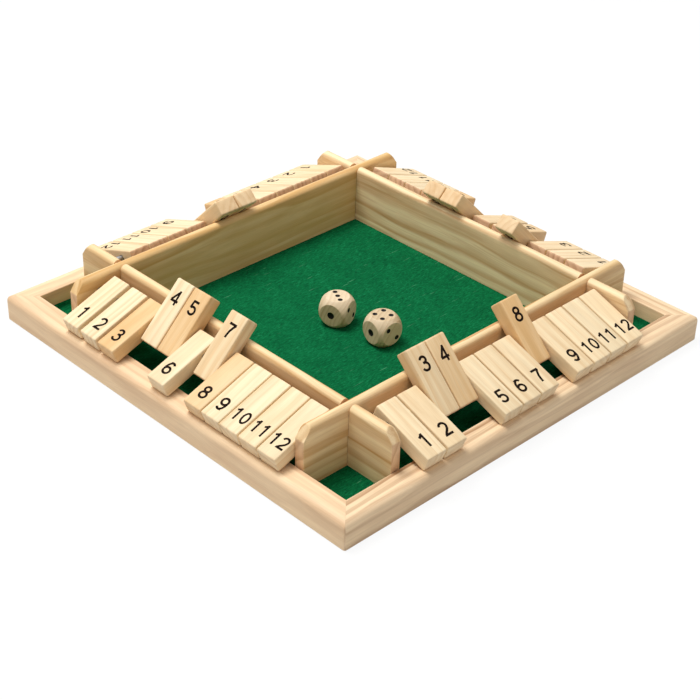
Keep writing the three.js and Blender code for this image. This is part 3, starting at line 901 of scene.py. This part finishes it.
def die_face(number):
    """One sixth of a die, seen along Z with the pips' first direction up and second to the
    right. The round flat has its pips cut out of it. Rings go on from its rim over the sphere
    to the edges of the cube's face, where the next sixth begins. Each pip is a painted rim,
    a wall and a shallow dish."""
    around, rim = 96, DIE_FLAT - FLAT_EASE
    turn = np.radians(np.arange(around) * 360 / around - 45)
    radius = ONE_PIP_RADIUS if number == 1 else PIP_RADIUS
    steps = 30
    small = np.linspace(0, 2 * math.pi, steps, endpoint=False)
    loops = [np.stack([rim * np.cos(turn), rim * np.sin(turn)], 1)]
    spots = [(b * PIP_SPACING, a * PIP_SPACING) for a, b in PIPS[number]]
    painted = radius + PIP_RIM
    for x, y in spots:
        loops.append(np.stack([x + painted * np.cos(small), y + painted * np.sin(small)], 1))
    plan = np.concatenate(loops)
    inner = []
    for r in (2.4, 4.8):
        ring = np.stack([r * np.cos(turn[::4]), r * np.sin(turn[::4])], 1)
        clear = np.array([min(np.hypot(*(p - s)) for s in spots) > radius + 0.5 for p in ring])
        inner.append(ring[clear])
    inner = np.concatenate(inner)
    edges, start = [], 0
    for loop in loops:
        index = np.arange(len(loop)) + start
        edges += np.stack([index, np.roll(index, -1)], 1).tolist()
        start += len(loop)
    plan = [tuple(p) for p in np.concatenate([plan, inner]).tolist()]
    merged = delaunay_2d_cdt(plan, edges, [], 0, 1e-5)
    flat = np.array([tuple(p) for p in merged[0]])
    triangles = np.array([list(t) for t in merged[2]])
    middle = flat[triangles].mean(1)
    in_pip = np.array([min(np.hypot(*(p - s)) for s in spots) < painted * 0.99 for p in middle])
    triangles = triangles[~in_pip]
    points = [np.column_stack([flat, np.full(len(flat), DIE_HALF)])]
    faces, kinds = triangles.tolist(), [0] * len(triangles)
    count = len(flat)

    ball = math.hypot(DIE_HALF, DIE_FLAT)
    crease = math.atan2(DIE_FLAT, DIE_HALF)
    square = np.arctan(1 / np.maximum(np.abs(np.cos(turn)), np.abs(np.sin(turn))))
    begin = math.atan2(rim, DIE_HALF)
    last = np.arange(around)
    tilts = [np.full(around, begin + (crease - begin) * s) for s in (0.35, 0.7, 1.0)]
    tilts += [crease + (square - crease) * s for s in (0.03, 0.07, 0.15, 0.3, 0.5, 0.75, 1.0)]
    for tilt in tilts:
        reach = soft_min(DIE_HALF / np.cos(tilt), np.full(around, ball), CREASE_EASE)
        ring = np.stack([reach * np.sin(tilt) * np.cos(turn), reach * np.sin(tilt) * np.sin(turn),
                         reach * np.cos(tilt)], 1)
        points.append(ring)
        here = np.arange(around) + count
        count += around
        quads = np.stack([last, here, np.roll(here, -1), np.roll(last, -1)], 1)
        faces += quads.tolist()
        kinds += [0] * around
        last = here

    for i, (x, y) in enumerate(spots):
        last = np.arange(steps) + around + i * steps
        for r, drop in ((radius, 0.06), (radius, 0.4), (radius * 0.8, PIP_DEPTH * 0.85),
                        (radius * 0.4, PIP_DEPTH * 0.98)):
            points.append(np.stack([x + r * np.cos(small), y + r * np.sin(small),
                                    np.full(steps, DIE_HALF - drop)], 1))
            here = np.arange(steps) + count
            count += steps
            faces += np.stack([here, np.roll(here, -1), np.roll(last, -1), last], 1).tolist()
            kinds += [1] * steps
            last = here
        points.append(np.array([[x, y, DIE_HALF - PIP_DEPTH]]))
        faces += [[int(a), int(b), count] for a, b in zip(last, np.roll(last, -1))]
        kinds += [1] * steps
        count += 1
    return np.concatenate(points), faces, kinds


def die_shape(top):
    """A die from six faces laid out as on the real one, with opposite faces adding to seven.
    The columns of each basis are the face's right, up and outward directions."""
    x, y, z = np.eye(3)
    layout = [(1, -x, z, y), (6, x, z, y), (2, -y, z, -x), (5, y, z, x),
              (top, z, x, y), (7 - top, -z, x, -y)]
    all_points, all_faces, all_kinds, start = [], [], [], 0
    for number, out, first, second in layout:
        points, faces, kinds = die_face(number)
        basis = np.stack([second, first, out], 1)
        flip = np.linalg.det(basis) < 0
        all_points.append(points @ basis.T)
        all_faces += [[i + start for i in (face[::-1] if flip else face)] for face in faces]
        all_kinds += kinds
        start += len(points)
    return np.concatenate(all_points), all_faces, all_kinds


enamel = pip_paint()
for place, (across, along, yaw, top) in DICE.items():
    local, faces, kinds = die_shape(top)
    joined, back = np.unique(np.round(local, 4), axis=0, return_inverse=True)
    back = back.ravel()
    faces = [back[face].tolist() for face in faces]
    keep = [i for i, face in enumerate(faces) if len(set(face)) == len(face)]
    centre = [across * HALF_PLAY, along * HALF_PLAY, FELT_TOP + FELT_GAP + DIE_HALF]
    cube = put(f"wood_die_{place}", turned(joined, 2, yaw) + centre, [faces[i] for i in keep],
               [die_wood, enamel], [kinds[i] for i in keep], sharp=40)
    sawn = turned(turned(joined, 1, chance.uniform(20, 70)), 0, chance.uniform(10, 60))
    give_grain(cube, sawn, np.array([chance.uniform(-99, 99), 14, 9]))
    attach(cube, f"die_{place}")
    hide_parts(f"die_{place}")

# The table: a wide white sheet that runs on past the view on every side. The camera and mirrors
# see it as white, and it keeps a faint shadow under the tray.
FLOOR_HALF = 4000.0
FLOOR_DROP = 0.3
PAPER_WHITE = 1.06
PAPER_WHITE_SHARE = 0.86


def seen_directly(tree):
    """1 for the rays with which the camera or a mirror looks, and 0 for those that carry light."""
    path = add(tree, "LightPath")
    return add(tree, "Math", {0: path.outputs["Is Camera Ray"], 1: path.outputs["Is Glossy Ray"]},
               operation="ADD", use_clamp=True).outputs[0]


def white_sheet():
    """Matt white paper. Camera and mirror rays see mostly plain white, and a share of the lit
    paper, in which the shadow shows."""
    finish = bpy.data.materials.new("white_paper")
    finish.use_nodes = True
    tree = finish.node_tree
    tree.nodes.clear()
    paper = add(tree, "BsdfDiffuse", {"Color": linear("#D2D2D0")}).outputs[0]
    white = add(tree, "Emission", {"Color": (1, 1, 1, 1), "Strength": PAPER_WHITE}).outputs[0]
    share = add(tree, "Math", {0: seen_directly(tree), 1: PAPER_WHITE_SHARE},
                operation="MULTIPLY").outputs[0]
    both = add(tree, "MixShader", {0: share, 1: paper, 2: white}).outputs[0]
    out = add(tree, "OutputMaterial")
    tree.links.new(both, out.inputs["Surface"])
    return finish


sheet = np.array([[-1, -1, 0], [1, -1, 0], [1, 1, 0], [-1, 1, 0]]) * FLOOR_HALF
table_top = put("table_top", sheet - [0, 0, FLOOR_DROP], [[0, 1, 2, 3]], [white_sheet()])

# The light: an even white room, and one large soft lamp high up behind the board on its left.
ROOM_LIGHT = 0.48
LAMP_PLACE, LAMP_SIZE, LAMP_POWER = (-0.25, 0.42, 1.48), 0.7, 21.5

world = bpy.data.worlds.new("white_room")
bpy.context.scene.world = world
world.use_nodes = True
tree = world.node_tree
tree.nodes.clear()
room = add(tree, "Background", {"Color": (1, 1, 1, 1), "Strength": ROOM_LIGHT}).outputs[0]
white = add(tree, "Background", {"Color": (1, 1, 1, 1), "Strength": 1.0}).outputs[0]
both = add(tree, "MixShader", {0: seen_directly(tree), 1: room, 2: white}).outputs[0]
out = add(tree, "OutputWorld")
tree.links.new(both, out.inputs["Surface"])


def hang_lamp(name, place, size, power):
    """A square soft lamp that looks at the middle of the board: its own Z points away from it."""
    light = bpy.data.lights.new(name, "AREA")
    light.shape, light.size, light.energy = "SQUARE", size, power
    made = bpy.data.objects.new(name, light)
    bpy.context.scene.collection.objects.link(made)
    back = np.array(place, float) / np.linalg.norm(place)
    right = np.cross([0, 0, 1], back)
    right /= np.linalg.norm(right)
    turn = np.stack([right, np.cross(back, right), back], 1)
    made.matrix_world = Matrix.Translation(place) @ Matrix(turn.tolist()).to_4x4()


hang_lamp("soft_lamp", LAMP_PLACE, LAMP_SIZE, LAMP_POWER)

# The camera: 82 mm on a 36 mm sensor, less than a metre away, turned to the near corner and
# rolled by under two degrees, as measured from the rows of tiles.
AZIMUTH, ELEVATION, ROLL = -44.843, 32.910, 1.622
DISTANCE, TARGET, LENS = 963.78, (-17.47, -16.60, 0.0), 82.02
a, e, r = (math.radians(angle) for angle in (AZIMUTH, ELEVATION, ROLL))
back = np.array([math.sin(a) * math.cos(e), -math.cos(a) * math.cos(e), math.sin(e)])
level = np.array([math.cos(a), math.sin(a), 0])
upright = np.cross(back, level)
turn = np.stack([level * math.cos(r) + upright * math.sin(r),
                 upright * math.cos(r) - level * math.sin(r), back], 1)
camera = bpy.data.objects.new("camera", bpy.data.cameras.new("camera"))
bpy.context.scene.collection.objects.link(camera)
camera.matrix_world = (Matrix.Translation((np.array(TARGET) + DISTANCE * back) * MM)
                       @ Matrix(turn.tolist()).to_4x4())
camera.data.lens = LENS
camera.data.sensor_width = 36
camera.data.clip_start, camera.data.clip_end = 0.05, 50
bpy.context.scene.camera = camera
bpy.context.scene.view_settings.view_transform = "Standard"
